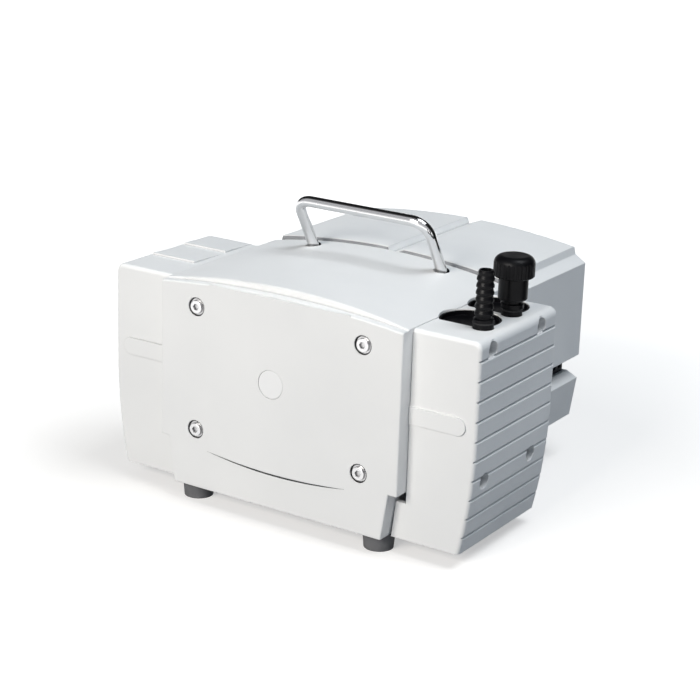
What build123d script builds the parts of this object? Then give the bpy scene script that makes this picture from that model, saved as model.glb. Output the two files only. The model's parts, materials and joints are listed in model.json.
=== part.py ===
"""Diaphragm vacuum pump, two-headed boxer type, with a chrome carrying bow.

Frame: millimetres, +Z up, +X to the operator's right, +Y to the back. The origin is on the
standing surface, under the middle of the pump. The drive shaft runs front to back.
"""
from build123d import *
from math import cos, pi, radians, sin, sqrt
import os

os.makedirs("parts", exist_ok=True)

# ---------------------------------------------------------------- driving dimensions
# Outside of the pump
FRONT_Y = -134.0            # crest of the bulged front panel
PLATE_Y = -132.5            # flat of the front plate
LEDGE_Y = -126.0            # where the top crown starts, behind the front ledge
FRONT_END_Y = 10.0          # rear end of the front cover
SIDE_FRONT_Y = -120.0       # front faces of the two side covers
SIDE_REAR_Y = -10.0
BACK_Y = 132.0              # rear wall of the motor hood and the base tray
UNDERSIDE_Z = 13.0          # underside of the housing, on its feet
WALL = 4.0                  # front and side covers
HOOD_WALL = 3.5             # motor hood and base tray

# Front cover: crowned shell over the crankcase
CENTRE_HALF = 103.0
CENTRE_FOOT_HALF = 91.0
KNEE_Z = 48.0               # height of the shelf where the side walls step in
KNEE_STEP = 7.0
SHOULDER_Z = 167.4          # where side wall and crown meet
CROWN_Z = 177.5
LEDGE_SHOULDER_Z = 166.5
LEDGE_CROWN_Z = 172.4
PANEL_HALF = 60.0           # half width of the bulged front panel
PANEL_FOOT_Z = 43.3
PANEL_SAG_Z = 40.1
PANEL_TOP_Z = 171.0
PLATE_SCREW_X = 71.2
PLATE_SCREW_Z = (58.0, 151.8)
PLUG_X = -4.0
PLUG_Z = 107.3
PLUG_R = 10.5

# Side covers
SIDE_HALF = 156.0
SIDE_FOOT_HALF = 146.8      # half width at the bottom of the curved end face
SIDE_BEND_Z = 95.0          # below this the end face curves in
SIDE_TOP_Z = 167.0
SIDE_BOTTOM_Z = 12.0
SIDE_GAP = 0.3
SIDE_INNER_X = CENTRE_HALF + SIDE_GAP
SIDE_INNER_FOOT_X = 92.3
SIDE_KNEE = (95.3, 39.5)    # where the inner edge steps in, below the centre's shelf
RIB_COUNT = 10
RIB_PITCH = 14.3
RIB_FIRST_Z = 24.5
RIB_DEPTH = 1.7
RIB_HALF = 1.9
STRIP_Z = (98.8, 111.6)     # raised pill-ended strip on the front face
STRIP_END_X = 147.6
STRIP_PROUD = 1.2
SIDE_SCREWS = (             # Y, Z and length of the four screws of each side cover
    (-103.0, 63.7, 53.0),
    (-36.5, 63.7, 53.0),
    (-103.0, 158.5, 53.0),
    (-34.0, 158.5, 12.0),
)
SIDE_SEAT_X = 146.0         # where the side screws' heads seat
SIDE_WELL_R = 6.0
LOUVRE_X = (-150.0, -110.5)
LOUVRE_Y = (-84.0, -45.5)   # front edges of the two shallow hoods on the left cover
LOUVRE_RISE = 1.4
LOUVRE_RUN = 34.0

# Ports on the right cover
PORT_X = 139.0
PORT_Y = (-88.0, -47.8)     # inlet, outlet
PORT_TUBE_Z = 158.0
PORT_TUBE_R = 4.9
PORT_COLLAR_R = 7.3
POCKET_X = 121.3
POCKET_R = 21.9
POCKET_BACK_SHIFT = 13.5    # pocket centre behind the port axis
POCKET_FRONT_SHIFT = 2.0    # straight front edge ahead of the port axis
POCKET_FLOOR_Z = 149.0
WELL_TOP_Z = 166.4          # rim of the moulded well that fills each pocket
WELL_FLOOR_Z = 163.2
FITTING_Z = 171.0           # top of the collars, where nozzle and silencer seat
KNOB_TOP_Z = 209.8

# Motor hood
HOOD_HALF = 107.5
HOOD_BOTTOM_Z = 85.5
HOOD_SHOULDER_Z = 160.5
HOOD_STEP = ((98.5, 166.2), (97.0, 171.8))
HOOD_CROWN_Z = 179.6
HOOD_GAP = 1.5              # open joint between front cover and hood

# Base tray
TRAY_KEEL_HALF = 68.0
TRAY_BILGE = (102.6, 34.3)  # where the tray's sides turn in to its keel
TRAY_SHOULDER = ((107.0, 66.0), (98.0, 70.5))
FLOOR_Z = 17.0
FEET = (                    # middle of each foot
    (-80.0, -116.0),
    (80.0, -116.0),
    (-54.0, 102.0),
    (54.0, 102.0),
)
FOOT_R = 12.0

# Carrying bow
BOW_FOOT_X = 56.7
BOW_CORNER_X = 56.8
BOW_FOOT_Y = -4.9
BOW_FOOT_Z = 173.9
BOW_RISE = 40.9
BOW_LEAN = 24.6
BOW_R = 4.2
BOW_BEND_R = 13.0
BOW_TAIL = 26.0             # length of each leg below the cover's surface

# Drive
SHAFT_Z = 108.0
SHAFT_R = 7.5
CRANK_Y = -70.0             # middle of the crank chamber's two rods
THROW = 4.0                 # eccentricity: half the stroke
ECCENTRIC_R = 14.0
ROD_OFFSET = 5.0
ROD_WIDTH = 9.0
ROD_BEARING_R = 20.0
ROD_EYE_R = 26.0
RUNNING = 0.05              # radial running clearance
CHAMBER_R = 46.0
CHAMBER_Y = (-104.0, -20.0)
BARREL_R = 58.0
CASE_Y = (-116.0, -8.0)
BEARING_R = 16.0
BEARING_W = 9.0
PORT_FACE_X = 80.5          # machined faces that the heads bolt to
HEAD_HALF = 38.5
HEAD_CORNER_R = 9.0
DIAPHRAGM_R = 36.0
DIAPHRAGM_BORE_R = 28.0
DIAPHRAGM_T = 3.0
VALVE_PLATE_X = (83.5, 98.0)
LID_X = (98.0, 124.0)
HEAD_BOLT = 31.0
CLAMP_R = 18.0
CLAMP_T = 4.0
CLAMP_HOLE_R = 4.0

# Motor
MOTOR_R = 61.0
MOTOR_BORE_R = 57.0
MOTOR_Y = (4.0, 110.0)
STACK_Y = (28.0, 88.0)
STATOR_BORE_R = 31.0
ROTOR_R = 30.6
FAN_Y = (118.2, 124.8)
FAN_R = 48.0

# Mains inlet and switch, on the back of the base tray
INLET_X = -52.0
SWITCH_X = -12.0
MAINS_Z = 32.0
FLANGE_PROUD = 2.0


# ---------------------------------------------------------------- helpers
def along_y(outline, y0, y1):
    """Extrude an outline drawn in X and Z from y0 to y1."""
    return extrude(Plane.XZ.offset(-y0) * outline, amount=y0 - y1)


def rod_x(x0, x1, y, z, radius):
    """Round bar along X."""
    return extrude(Plane.YZ.offset(x0) * Pos(y, z) * Circle(radius), amount=x1 - x0)


def rod_y(y0, y1, x, z, radius):
    """Round bar along Y."""
    return along_y(Pos(x, z) * Circle(radius), y0, y1)


def rod_z(z0, z1, x, y, radius):
    """Round bar along Z."""
    return Pos(x, y, z0) * extrude(Circle(radius), amount=z1 - z0)


def block(x0, x1, y0, y1, z0, z1):
    """Box between pairs of coordinates."""
    centre = Pos((x0 + x1) / 2, (y0 + y1) / 2, (z0 + z1) / 2)
    return centre * Box(abs(x1 - x0), abs(y1 - y0), abs(z1 - z0))


def write(shape, node):
    """Write one sub-part to its own STEP file."""
    shape.label = node
    export_step(shape, f"parts/{node}.step")


def group(pieces):
    """Several separate solids in one node."""
    solids = [solid for piece in pieces for solid in piece.solids()]
    return Compound(children=solids)


def mirrored(shape):
    """The left-hand twin of a right-hand piece."""
    return mirror(shape, about=Plane.YZ)


# ---------------------------------------------------------------- front cover
def crowned(foot_half, foot_z, half, shoulder_z, crown_z, knee_z=KNEE_Z):
    """Section of the centre housing: slanted foot, upright sides, arched top."""
    right = [
        (foot_half, foot_z),
        (half - KNEE_STEP, knee_z),
        (half, knee_z),
        (half, shoulder_z),
    ]
    left = [(-x, z) for x, z in reversed(right)]
    sides = Polyline(*left, *right)
    arch = ThreePointArc(right[-1], (0, crown_z), left[0])
    return make_face(sides + arch)


def bulged_panel():
    """Barrel-shaped raised panel with an arched lower edge."""
    bulge = FRONT_Y - PLATE_Y
    radius = (PANEL_HALF ** 2 + bulge ** 2) / (2 * abs(bulge))
    outline = make_face(
        ThreePointArc((-PANEL_HALF, PANEL_FOOT_Z), (0, PANEL_SAG_Z), (PANEL_HALF, PANEL_FOOT_Z))
        + Line((PANEL_HALF, PANEL_FOOT_Z), (PANEL_HALF, PANEL_TOP_Z))
        + Line((PANEL_HALF, PANEL_TOP_Z), (-PANEL_HALF, PANEL_TOP_Z))
        + Line((-PANEL_HALF, PANEL_TOP_Z), (-PANEL_HALF, PANEL_FOOT_Z))
    )
    panel = along_y(outline, FRONT_Y - 1, PLATE_Y + 1)
    barrel = rod_z(0, CROWN_Z, 0, FRONT_Y + radius, radius)
    return panel & barrel


def pocket(port_y, z0, z1, inset=0.0):
    """D-shaped bar beside a port's tube, to cut its pocket or to fill it."""
    centre_y = port_y + POCKET_BACK_SHIFT
    edge_y = port_y - POCKET_FRONT_SHIFT + inset
    radius = POCKET_R - inset
    round_bar = rod_z(z0, z1, POCKET_X, centre_y, radius)
    keep = block(POCKET_X - radius, POCKET_X + radius, edge_y, centre_y + radius, z0, z1)
    return round_bar & keep


def bow_plane():
    """Plane of the carrying bow, through the middle of its feet."""
    return Plane(
        origin=(0, BOW_FOOT_Y, BOW_FOOT_Z),
        x_dir=(1, 0, 0),
        z_dir=(0, -BOW_RISE, -BOW_LEAN),
    )


def bow_leg(side, radius, start, end):
    """Straight bar on the axis of one of the bow's legs."""
    reach = sqrt(BOW_RISE ** 2 + BOW_LEAN ** 2)
    slope = (BOW_CORNER_X - BOW_FOOT_X) / reach
    foot = bow_plane().from_local_coords((side * (BOW_FOOT_X + slope * start), start))
    tip = bow_plane().from_local_coords((side * (BOW_FOOT_X + slope * end), end))
    axis = Plane(origin=foot, z_dir=tip - foot)
    return extrude(axis * Circle(radius), amount=(tip - foot).length)


def front_cover():
    """Front plate, sides and crowned top in one moulded shell."""
    shell = along_y(
        crowned(CENTRE_FOOT_HALF, UNDERSIDE_Z, CENTRE_HALF, SHOULDER_Z, CROWN_Z), LEDGE_Y, FRONT_END_Y
    )
    shell = fillet(shell.edges().filter_by(GeomType.CIRCLE).group_by(Axis.Y)[0], 1.6)
    shell += along_y(
        crowned(CENTRE_FOOT_HALF, UNDERSIDE_Z, CENTRE_HALF, LEDGE_SHOULDER_Z, LEDGE_CROWN_Z),
        PLATE_Y,
        LEDGE_Y + WALL,
    )
    front_edges = shell.edges().group_by(Axis.Y)[0]
    front_edges = front_edges.filter_by(lambda edge: edge.center().Z > UNDERSIDE_Z + 1)
    front_edges = front_edges.filter_by(lambda edge: abs(edge.center().Z - KNEE_Z) > 0.5)
    shell = fillet(front_edges, 1.2)
    shell += bulged_panel()
    inside_foot = CENTRE_FOOT_HALF - WALL - 1
    inside_half = CENTRE_HALF - WALL
    shell -= along_y(
        crowned(inside_foot, 5, inside_half, LEDGE_SHOULDER_Z - WALL, LEDGE_CROWN_Z - WALL, KNEE_Z + WALL),
        PLATE_Y + WALL,
        LEDGE_Y + WALL,
    )
    shell -= along_y(
        crowned(inside_foot, 5, inside_half, SHOULDER_Z - WALL, CROWN_Z - WALL, KNEE_Z + WALL),
        LEDGE_Y + WALL,
        FRONT_END_Y + 1,
    )
    for side in (-1, 1):
        for y, z, length in SIDE_SCREWS[:3]:
            shell += rod_x(side * (inside_half + 0.5), side * (inside_half - 7), y, z, 4.6)
    for side in (-1, 1):
        shell -= block(side * 90, side * 110, -115, -25, 69, 147)
        shell -= bow_leg(side, BOW_R + 1.5, -14, 10)
        for y, z, length in SIDE_SCREWS[:3]:
            shell -= rod_x(side * 90, side * 110, y, z, 2.3)
        for z in PLATE_SCREW_Z:
            shell -= rod_y(PLATE_Y - 3, PLATE_Y + 2.5, side * PLATE_SCREW_X, z, 7.0)
            shell -= rod_y(PLATE_Y, PLATE_Y + 6, side * PLATE_SCREW_X, z, 3.3)
    for y in PORT_Y:
        shell -= rod_x(90, 110, y, PORT_TUBE_Z, PORT_TUBE_R + 0.7)
        shell -= pocket(y, POCKET_FLOOR_Z, CROWN_Z)
    shell -= rod_y(FRONT_Y - 1, PLATE_Y + 0.7, PLUG_X, PLUG_Z, PLUG_R + 0.15)
    return shell


def front_plug():
    """Plain round cap in the middle of the front panel."""
    cap = rod_y(FRONT_Y + 0.1, PLATE_Y + 0.7, PLUG_X, PLUG_Z, PLUG_R)
    return fillet(cap.edges().group_by(Axis.Y)[0], 0.4)


def plate_screws():
    """Four socket-head screws with washers that hold the front cover."""
    pieces = []
    for side in (-1, 1):
        for z in PLATE_SCREW_Z:
            x = side * PLATE_SCREW_X
            seat = PLATE_Y + 2.5
            washer = rod_y(seat - 1.2, seat, x, z, 6.2)
            head = rod_y(seat - 3.4, seat - 1.2, x, z, 4.9)
            head = fillet(head.edges().group_by(Axis.Y)[0], 0.5)
            socket = along_y(Pos(x, z) * RegularPolygon(2.6, 6), seat - 4, seat - 1.8)
            shank = rod_y(seat, seat + 20, x, z, 2.95)
            pieces.append(washer + head + shank - socket)
    return group(pieces)


# ---------------------------------------------------------------- side covers
def end_face_x(z, inset=0.0):
    """Distance of the end face from the middle plane at a height."""
    sag = SIDE_HALF - SIDE_FOOT_HALF
    drop = SIDE_BEND_Z - SIDE_BOTTOM_Z
    radius = (drop ** 2 + sag ** 2) / (2 * sag)
    if z >= SIDE_BEND_Z:
        return SIDE_HALF - inset
    return SIDE_HALF - radius + sqrt((radius - inset) ** 2 - (SIDE_BEND_Z - z) ** 2)


def side_outline(inset, bottom_z, top_z, inner_x, inner_foot_x):
    """Section of a side cover, with its end face curving in at the bottom."""
    foot = (end_face_x(bottom_z, inset), bottom_z)
    middle_z = (bottom_z + SIDE_BEND_Z) / 2
    bend = (SIDE_HALF - inset, SIDE_BEND_Z)
    curve = ThreePointArc(foot, (end_face_x(middle_z, inset), middle_z), bend)
    rest = Polyline(
        bend,
        (SIDE_HALF - inset, top_z),
        (inner_x, top_z),
        (inner_x, SIDE_KNEE[1]),
        (inner_x - SIDE_INNER_X + SIDE_KNEE[0], SIDE_KNEE[1]),
        (inner_foot_x, bottom_z),
        foot,
    )
    return make_face(curve + rest)


def side_screw_tunnels(cover):
    """Deep screw wells in the end face, each ending in a seat."""
    for y, z, length in SIDE_SCREWS:
        cover += rod_x(max(SIDE_INNER_X, SIDE_SEAT_X - length), SIDE_SEAT_X, y, z, 3.6)
        cover += rod_x(SIDE_SEAT_X - 1.5, end_face_x(z) - 1.5, y, z, SIDE_WELL_R + 1.2)
    for y, z, length in SIDE_SCREWS:
        cover -= rod_x(SIDE_SEAT_X, SIDE_HALF + 2, y, z, SIDE_WELL_R)
        cover -= rod_x(SIDE_SEAT_X - length - 1, SIDE_SEAT_X + 1, y, z, 2.4)
    return cover


def side_cover():
    """Right-hand head cover without the features that differ left to right."""
    outline = side_outline(0, SIDE_BOTTOM_Z, SIDE_TOP_Z, SIDE_INNER_X, SIDE_INNER_FOOT_X)
    cover = along_y(outline, SIDE_FRONT_Y, SIDE_REAR_Y)
    top_edge = cover.edges().filter_by(Axis.Y).sort_by(lambda edge: edge.center().X + edge.center().Z)[-1]
    cover = fillet(top_edge, 6)
    outer = cover.edges().filter_by(lambda edge: abs(edge.center().Y - SIDE_FRONT_Y) < 0.01)
    outer += cover.edges().filter_by(lambda edge: abs(edge.center().Y - SIDE_REAR_Y) < 0.01)
    outer = outer.filter_by(lambda edge: edge.center().X > SIDE_INNER_X + 1)
    outer = outer.filter_by(lambda edge: edge.center().Z > SIDE_BOTTOM_Z + 1)
    cover = fillet(outer, 3)
    hollow = side_outline(
        WALL, SIDE_BOTTOM_Z + WALL, SIDE_TOP_Z - WALL, SIDE_INNER_X - 5, SIDE_INNER_FOOT_X - 5
    )
    cover -= along_y(hollow, SIDE_FRONT_Y + WALL, SIDE_REAR_Y - WALL)
    cover = side_screw_tunnels(cover)
    for index in range(RIB_COUNT):
        z = RIB_FIRST_Z + index * RIB_PITCH
        face_x = end_face_x(z)
        groove = Polyline(
            (face_x + 1, z + RIB_HALF), (face_x - RIB_DEPTH, z + 0.4), (face_x + 1, z - RIB_HALF), close=True
        )
        cover -= along_y(make_face(groove), SIDE_FRONT_Y - 1, SIDE_REAR_Y + 1)
    middle_z = sum(STRIP_Z) / 2
    half = (STRIP_Z[1] - STRIP_Z[0]) / 2
    strip = Pos(STRIP_END_X - half, middle_z) * Circle(half)
    strip += Pos((SIDE_INNER_X + STRIP_END_X - half) / 2, middle_z) * Rectangle(
        STRIP_END_X - half - SIDE_INNER_X, 2 * half
    )
    strip_solid = along_y(strip, SIDE_FRONT_Y - STRIP_PROUD, SIDE_FRONT_Y + 1)
    cover += strip_solid
    return cover


def right_cover():
    """Right head cover, open at the top around the two ports."""
    cover = side_cover()
    for y in PORT_Y:
        cover -= pocket(y, POCKET_FLOOR_Z, CROWN_Z)
        cover -= rod_z(POCKET_FLOOR_Z, CROWN_Z, PORT_X, y, PORT_COLLAR_R + 0.3)
        cover -= rod_x(SIDE_INNER_X - 1, PORT_X, y, PORT_TUBE_Z, PORT_TUBE_R + 0.6)
    return cover


def left_cover():
    """Left head cover with two shallow hoods moulded on its top."""
    cover = mirrored(side_cover())
    for y in LOUVRE_Y:
        wedge = Polyline(
            (y, SIDE_TOP_Z - 1),
            (y, SIDE_TOP_Z + LOUVRE_RISE),
            (y + LOUVRE_RUN, SIDE_TOP_Z),
            (y + LOUVRE_RUN, SIDE_TOP_Z - 1),
            close=True,
        )
        face = Plane.YZ.offset(LOUVRE_X[0]) * make_face(wedge)
        cover += extrude(face, amount=LOUVRE_X[1] - LOUVRE_X[0])
    return cover


def side_screws(side):
    """Four cap screws in the wells of one side cover."""
    pieces = []
    for y, z, length in SIDE_SCREWS:
        head = rod_x(side * SIDE_SEAT_X, side * (SIDE_SEAT_X + 4), y, z, 4.1)
        shank = rod_x(side * (SIDE_SEAT_X - length), side * SIDE_SEAT_X, y, z, 2.2)
        hexagon = Plane.YZ.offset(side * (SIDE_SEAT_X + 5)) * Pos(y, z) * RegularPolygon(2.2, 6)
        pieces.append(head + shank - extrude(hexagon, amount=-side * 3.5))
    return group(pieces)


# ---------------------------------------------------------------- ports
def port_elbow(port_y):
    """Moulded port: a shallow D-shaped well, a tube inward and a collar for the fitting."""
    well = pocket(port_y, POCKET_FLOOR_Z + 1, WELL_TOP_Z, 0.3)
    well -= pocket(port_y, WELL_FLOOR_Z, WELL_TOP_Z + 1, 1.5)
    collar = rod_z(POCKET_FLOOR_Z + 1, FITTING_Z, PORT_X, port_y, PORT_COLLAR_R)
    tube = rod_x(86, PORT_X, port_y, PORT_TUBE_Z, PORT_TUBE_R)
    port = well + collar + tube
    port -= rod_x(85, PORT_X, port_y, PORT_TUBE_Z, 3.5)
    port -= rod_z(PORT_TUBE_Z, FITTING_Z + 1, PORT_X, port_y, 3.5)
    screw_y, screw_z, length = SIDE_SCREWS[-1]
    port -= rod_x(SIDE_SEAT_X - length - 1, SIDE_SEAT_X, screw_y, screw_z, 2.25)
    return port


def hose_nozzle():
    """Barbed hose nozzle for a 12 mm hose, on the inlet's collar."""
    tip_z = 208.0
    barbs = 6
    pitch = 4.9
    first_z = FITTING_Z + 5.0
    profile = [(4, FITTING_Z), (PORT_COLLAR_R, FITTING_Z), (PORT_COLLAR_R, FITTING_Z + 2.4), (5.6, FITTING_Z + 3.2)]
    for index in range(barbs):
        foot = first_z + index * pitch
        taper = 0.1 * index
        profile += [(5.9 - taper, foot), (6.7 - taper, foot + 0.5), (6.6 - taper, foot + 2.0), (5.8 - taper, foot + 4.0)]
    profile += [(5.4, tip_z - 1.4), (4.7, tip_z), (4, tip_z)]
    section = Plane.XZ * make_face(Polyline(*profile, close=True))
    return Pos(PORT_X, PORT_Y[0], 0) * revolve(section, Axis.Z)


def silencer_body():
    """Round silencer body on a ringed neck, on the outlet's collar."""
    profile = Polyline(
        (3.5, FITTING_Z), (7.3, FITTING_Z), (8.2, 172.4), (8.2, 175.4), (7.0, 176.2), (7.0, 177.6), (9.6, 178.4),
        (10.4, 179.4), (10.4, 193.8), (9.8, 194.4), (4.2, 194.4), (4.2, 204), (3.5, 204),
        close=True,
    )
    return Pos(PORT_X, PORT_Y[1], 0) * revolve(Plane.XZ * make_face(profile), Axis.Z)


def silencer_knob():
    """Knurled domed cap that turns on the silencer's stem."""
    outer_r = 14.5
    skirt_z = 194.8
    dome = make_face(
        Polyline((0, 205), (4.2 + RUNNING, 205), (4.2 + RUNNING, skirt_z), (outer_r - 0.8, skirt_z),
                 (outer_r, skirt_z + 0.8), (outer_r, 204.0))
        + ThreePointArc((outer_r, 204.0), (12.9, 208.0), (8.5, KNOB_TOP_Z))
        + Line((8.5, KNOB_TOP_Z), (0, KNOB_TOP_Z))
        + Line((0, KNOB_TOP_Z), (0, 205))
    )
    knob = revolve(Plane.XZ * dome, Axis.Z)
    flutes = 28
    for index in range(flutes):
        angle = 360 * index / flutes
        knob -= Rot(0, 0, angle) * rod_z(skirt_z - 2, 205.5, outer_r + 0.45, 0, 0.95)
    return Pos(PORT_X, PORT_Y[1], 0) * knob


def manifold():
    """Block inside the front cover that joins both heads to the two ports."""
    body = block(70, 92, -97, -39, 148.2, 164)
    body = fillet(body.edges().filter_by(Axis.Z), 3)
    for y in PORT_Y:
        body -= rod_x(86, 95, y, PORT_TUBE_Z, PORT_TUBE_R)
        body -= rod_x(78, 87, y, PORT_TUBE_Z, 3.5)
    return body


# ---------------------------------------------------------------- motor hood and tray
def hood_outline(inset):
    """Section of the motor hood, with a small step beside its crowned top."""
    (foot_x, foot_z), (step_x, step_z) = HOOD_STEP
    right = [
        (HOOD_HALF - inset, HOOD_BOTTOM_Z - (10 if inset else 0)),
        (HOOD_HALF - inset, HOOD_SHOULDER_Z - inset / 2),
        (foot_x - inset, foot_z - inset / 2),
        (step_x - inset, step_z - inset),
    ]
    left = [(-x, z) for x, z in reversed(right)]
    arch = ThreePointArc(right[-1], (0, HOOD_CROWN_Z - inset), left[0])
    return make_face(Polyline(*left, *right) + arch)


def motor_hood():
    """Shell over the motor, split by a crease, with louvres in the back."""
    start_y = FRONT_END_Y + HOOD_GAP
    hood = along_y(hood_outline(0), start_y, BACK_Y)
    back_edges = hood.edges().group_by(Axis.Y)[-1].filter_by(lambda edge: edge.center().Z > HOOD_BOTTOM_Z + 1)
    hood = fillet(back_edges, 2)
    hood -= along_y(hood_outline(HOOD_WALL), start_y - 1, BACK_Y - HOOD_WALL)
    hood += block(-5, 20, start_y, BACK_Y - 1, 170.5, 176.6)
    crease = Polyline(
        (0, HOOD_CROWN_Z + 3), (0, HOOD_CROWN_Z - 0.3), (1.6, HOOD_CROWN_Z - 5.2), (14, HOOD_CROWN_Z - 0.2),
        (14, HOOD_CROWN_Z + 3),
        close=True,
    )
    hood -= along_y(make_face(crease), start_y - 1, BACK_Y + 1)
    for side in (-1, 1):
        for row in range(6):
            z = 108 + row * 9
            hood -= block(side * 22, side * 78, BACK_Y - 5, BACK_Y + 1, z, z + 4)
    return hood


def tray_outline(inset, rise):
    """Section of the base tray: flat keel, sides that turn out, shoulder and lip."""
    (bilge_x, bilge_z), (wide_x, wide_z), (lip_x, lip_z) = TRAY_BILGE, *TRAY_SHOULDER
    right = [
        (TRAY_KEEL_HALF - inset / 2, UNDERSIDE_Z + rise),
        (bilge_x - inset, bilge_z + rise / 2),
        (wide_x - inset, wide_z),
        (lip_x - inset, lip_z),
    ]
    if inset:
        right.append((lip_x - inset, lip_z + 5))
    left = [(-x, z) for x, z in reversed(right)]
    return make_face(Polyline(*left, *right, close=True))


def base_tray():
    """Floor under the whole pump, with an open tray under the motor."""
    start_y = FRONT_END_Y + HOOD_GAP
    tray = along_y(tray_outline(0, 0), start_y, BACK_Y)
    tray = fillet(tray.edges().group_by(Axis.Y)[-1].filter_by(Axis.Z, reverse=True), 1.5)
    tray -= along_y(tray_outline(HOOD_WALL, FLOOR_Z - UNDERSIDE_Z), start_y + HOOD_WALL, BACK_Y - HOOD_WALL)
    tray += block(-86, 86, PLATE_Y + WALL + 0.5, start_y + 1, UNDERSIDE_Z, FLOOR_Z)
    tray -= rod_y(start_y - 1, BACK_Y - 20, 0, SHAFT_Z, MOTOR_R + 1.5)
    for x, y in FEET:
        tray -= rod_z(0, 30, x, y, 3.2)
    tray -= block(INLET_X - 14, INLET_X + 14, 120, 140, MAINS_Z - 10.25, MAINS_Z + 10.25)
    tray -= block(SWITCH_X - 7, SWITCH_X + 7, 120, 140, MAINS_Z - 10.5, MAINS_Z + 10.5)
    return tray


def vent_band():
    """Black slotted band in the recess between tray and hood."""
    half = TRAY_SHOULDER[1][0] - HOOD_WALL
    band_t = 2.5
    y0 = FRONT_END_Y + HOOD_GAP + HOOD_WALL
    y1 = BACK_Y - HOOD_WALL
    z0 = TRAY_SHOULDER[1][1] - 6
    z1 = HOOD_BOTTOM_Z + 6
    band = block(-half, half, y0, y1, z0, z1) - block(
        -half + band_t, half - band_t, y0 - 1, y1 - band_t, z0 - 1, z1 + 1
    )
    slot_z0 = TRAY_SHOULDER[1][1] + 2.5
    slot_z1 = HOOD_BOTTOM_Z - 2.5
    pitch = 9.0
    for index in range(12):
        y = y0 + 7 + index * pitch
        band -= block(-half - 1, half + 1, y, y + 5, slot_z0, slot_z1)
    for index in range(19):
        x = (index - 9) * pitch
        band -= block(x - 2.5, x + 2.5, y1 - 4, y1 + 1, slot_z0, slot_z1)
    return band


# ---------------------------------------------------------------- carrying bow
def carry_bow():
    """Bent chrome bar, leaning to the front."""
    reach = sqrt(BOW_RISE ** 2 + BOW_LEAN ** 2)
    slope = (BOW_CORNER_X - BOW_FOOT_X) / reach
    tail_x = BOW_FOOT_X - slope * BOW_TAIL
    path = FilletPolyline(
        (-tail_x, -BOW_TAIL), (-BOW_CORNER_X, reach), (BOW_CORNER_X, reach), (tail_x, -BOW_TAIL),
        radius=BOW_BEND_R,
    )
    path = bow_plane() * path
    section = Plane(origin=path @ 0, z_dir=path % 0) * Circle(BOW_R)
    return sweep(section, path=path)


def bow_sockets():
    """Two black cups that seat the bow's legs in the front cover."""
    pieces = []
    for side in (-1, 1):
        cup = bow_leg(side, BOW_R + 1.4, -11, -1.4)
        pieces.append(cup - bow_leg(side, BOW_R + 0.02, -20, 20))
    return group(pieces)


# ---------------------------------------------------------------- feet and mains
def rubber_feet():
    """Four turned rubber feet with a well for the screw."""
    pieces = []
    for x, y in FEET:
        foot = Pos(x, y, UNDERSIDE_Z / 2) * Cone(FOOT_R - 1.2, FOOT_R, UNDERSIDE_Z)
        foot -= rod_z(-1, UNDERSIDE_Z - 5, x, y, 6.5)
        foot -= rod_z(-1, UNDERSIDE_Z + 1, x, y, 3.2)
        pieces.append(foot)
    return group(pieces)


def foot_screws():
    """Pan-head screws that hold the feet, with their nuts on the floor."""
    pieces = []
    for x, y in FEET:
        shank = rod_z(UNDERSIDE_Z - 5, FLOOR_Z + 7, x, y, 2.95)
        head = rod_z(UNDERSIDE_Z - 8.5, UNDERSIDE_Z - 5, x, y, 5.5)
        nut = Pos(x, y, FLOOR_Z) * extrude(RegularPolygon(5.7, 6), amount=5)
        pieces.append(shank + head + nut)
    return group(pieces)


def mains_inlet():
    """Three-pin appliance inlet in the back of the tray."""
    flange = block(INLET_X - 16, INLET_X + 16, BACK_Y, BACK_Y + FLANGE_PROUD, MAINS_Z - 12.5, MAINS_Z + 12.5)
    flange = fillet(flange.edges().filter_by(Axis.Y), 3)
    body = block(INLET_X - 13.8, INLET_X + 13.8, BACK_Y - 22, BACK_Y + 1, MAINS_Z - 10, MAINS_Z + 10)
    inlet = flange + body
    cavity_face = chamfer(Rectangle(24.5, 16.5).vertices().group_by(Axis.Y)[-1], 4.5)
    inlet -= along_y(Pos(INLET_X, MAINS_Z) * cavity_face, BACK_Y - 15, BACK_Y + FLANGE_PROUD + 1)
    for x, z in ((-7, -1.5), (7, -1.5), (0, 2.5)):
        pin_x = INLET_X + x
        pin_z = MAINS_Z + z
        inlet += block(pin_x - 1, pin_x + 1, BACK_Y - 16, BACK_Y - 5, pin_z - 2, pin_z + 2)
    return inlet


def switch_frame():
    """Snap-in frame of the mains switch."""
    flange = block(SWITCH_X - 9, SWITCH_X + 9, BACK_Y, BACK_Y + 1.0, MAINS_Z - 12.5, MAINS_Z + 12.5)
    body = block(SWITCH_X - 6.8, SWITCH_X + 6.8, BACK_Y - 20, BACK_Y + 0.5, MAINS_Z - 10.3, MAINS_Z + 10.3)
    frame = flange + body
    frame -= block(SWITCH_X - 5.3, SWITCH_X + 5.3, BACK_Y - 14, BACK_Y + 2, MAINS_Z - 9, MAINS_Z + 9)
    return frame


def switch_rocker():
    """Rocker of the mains switch, shown in its off position."""
    throw = 9.0
    profile = Polyline(
        (-8.2, -0.6), (0, 0.9), (8.2, -0.6), (7.2, 6.5), (-7.2, 6.5), close=True
    )
    face = Plane(origin=(SWITCH_X - 4.8, BACK_Y, MAINS_Z), x_dir=(0, 0, 1), z_dir=(1, 0, 0))
    rocker = extrude(face * make_face(profile), amount=9.6)
    pivot = Axis((SWITCH_X, BACK_Y - 4, MAINS_Z), (1, 0, 0))
    return rocker.rotate(pivot, throw)


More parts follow.
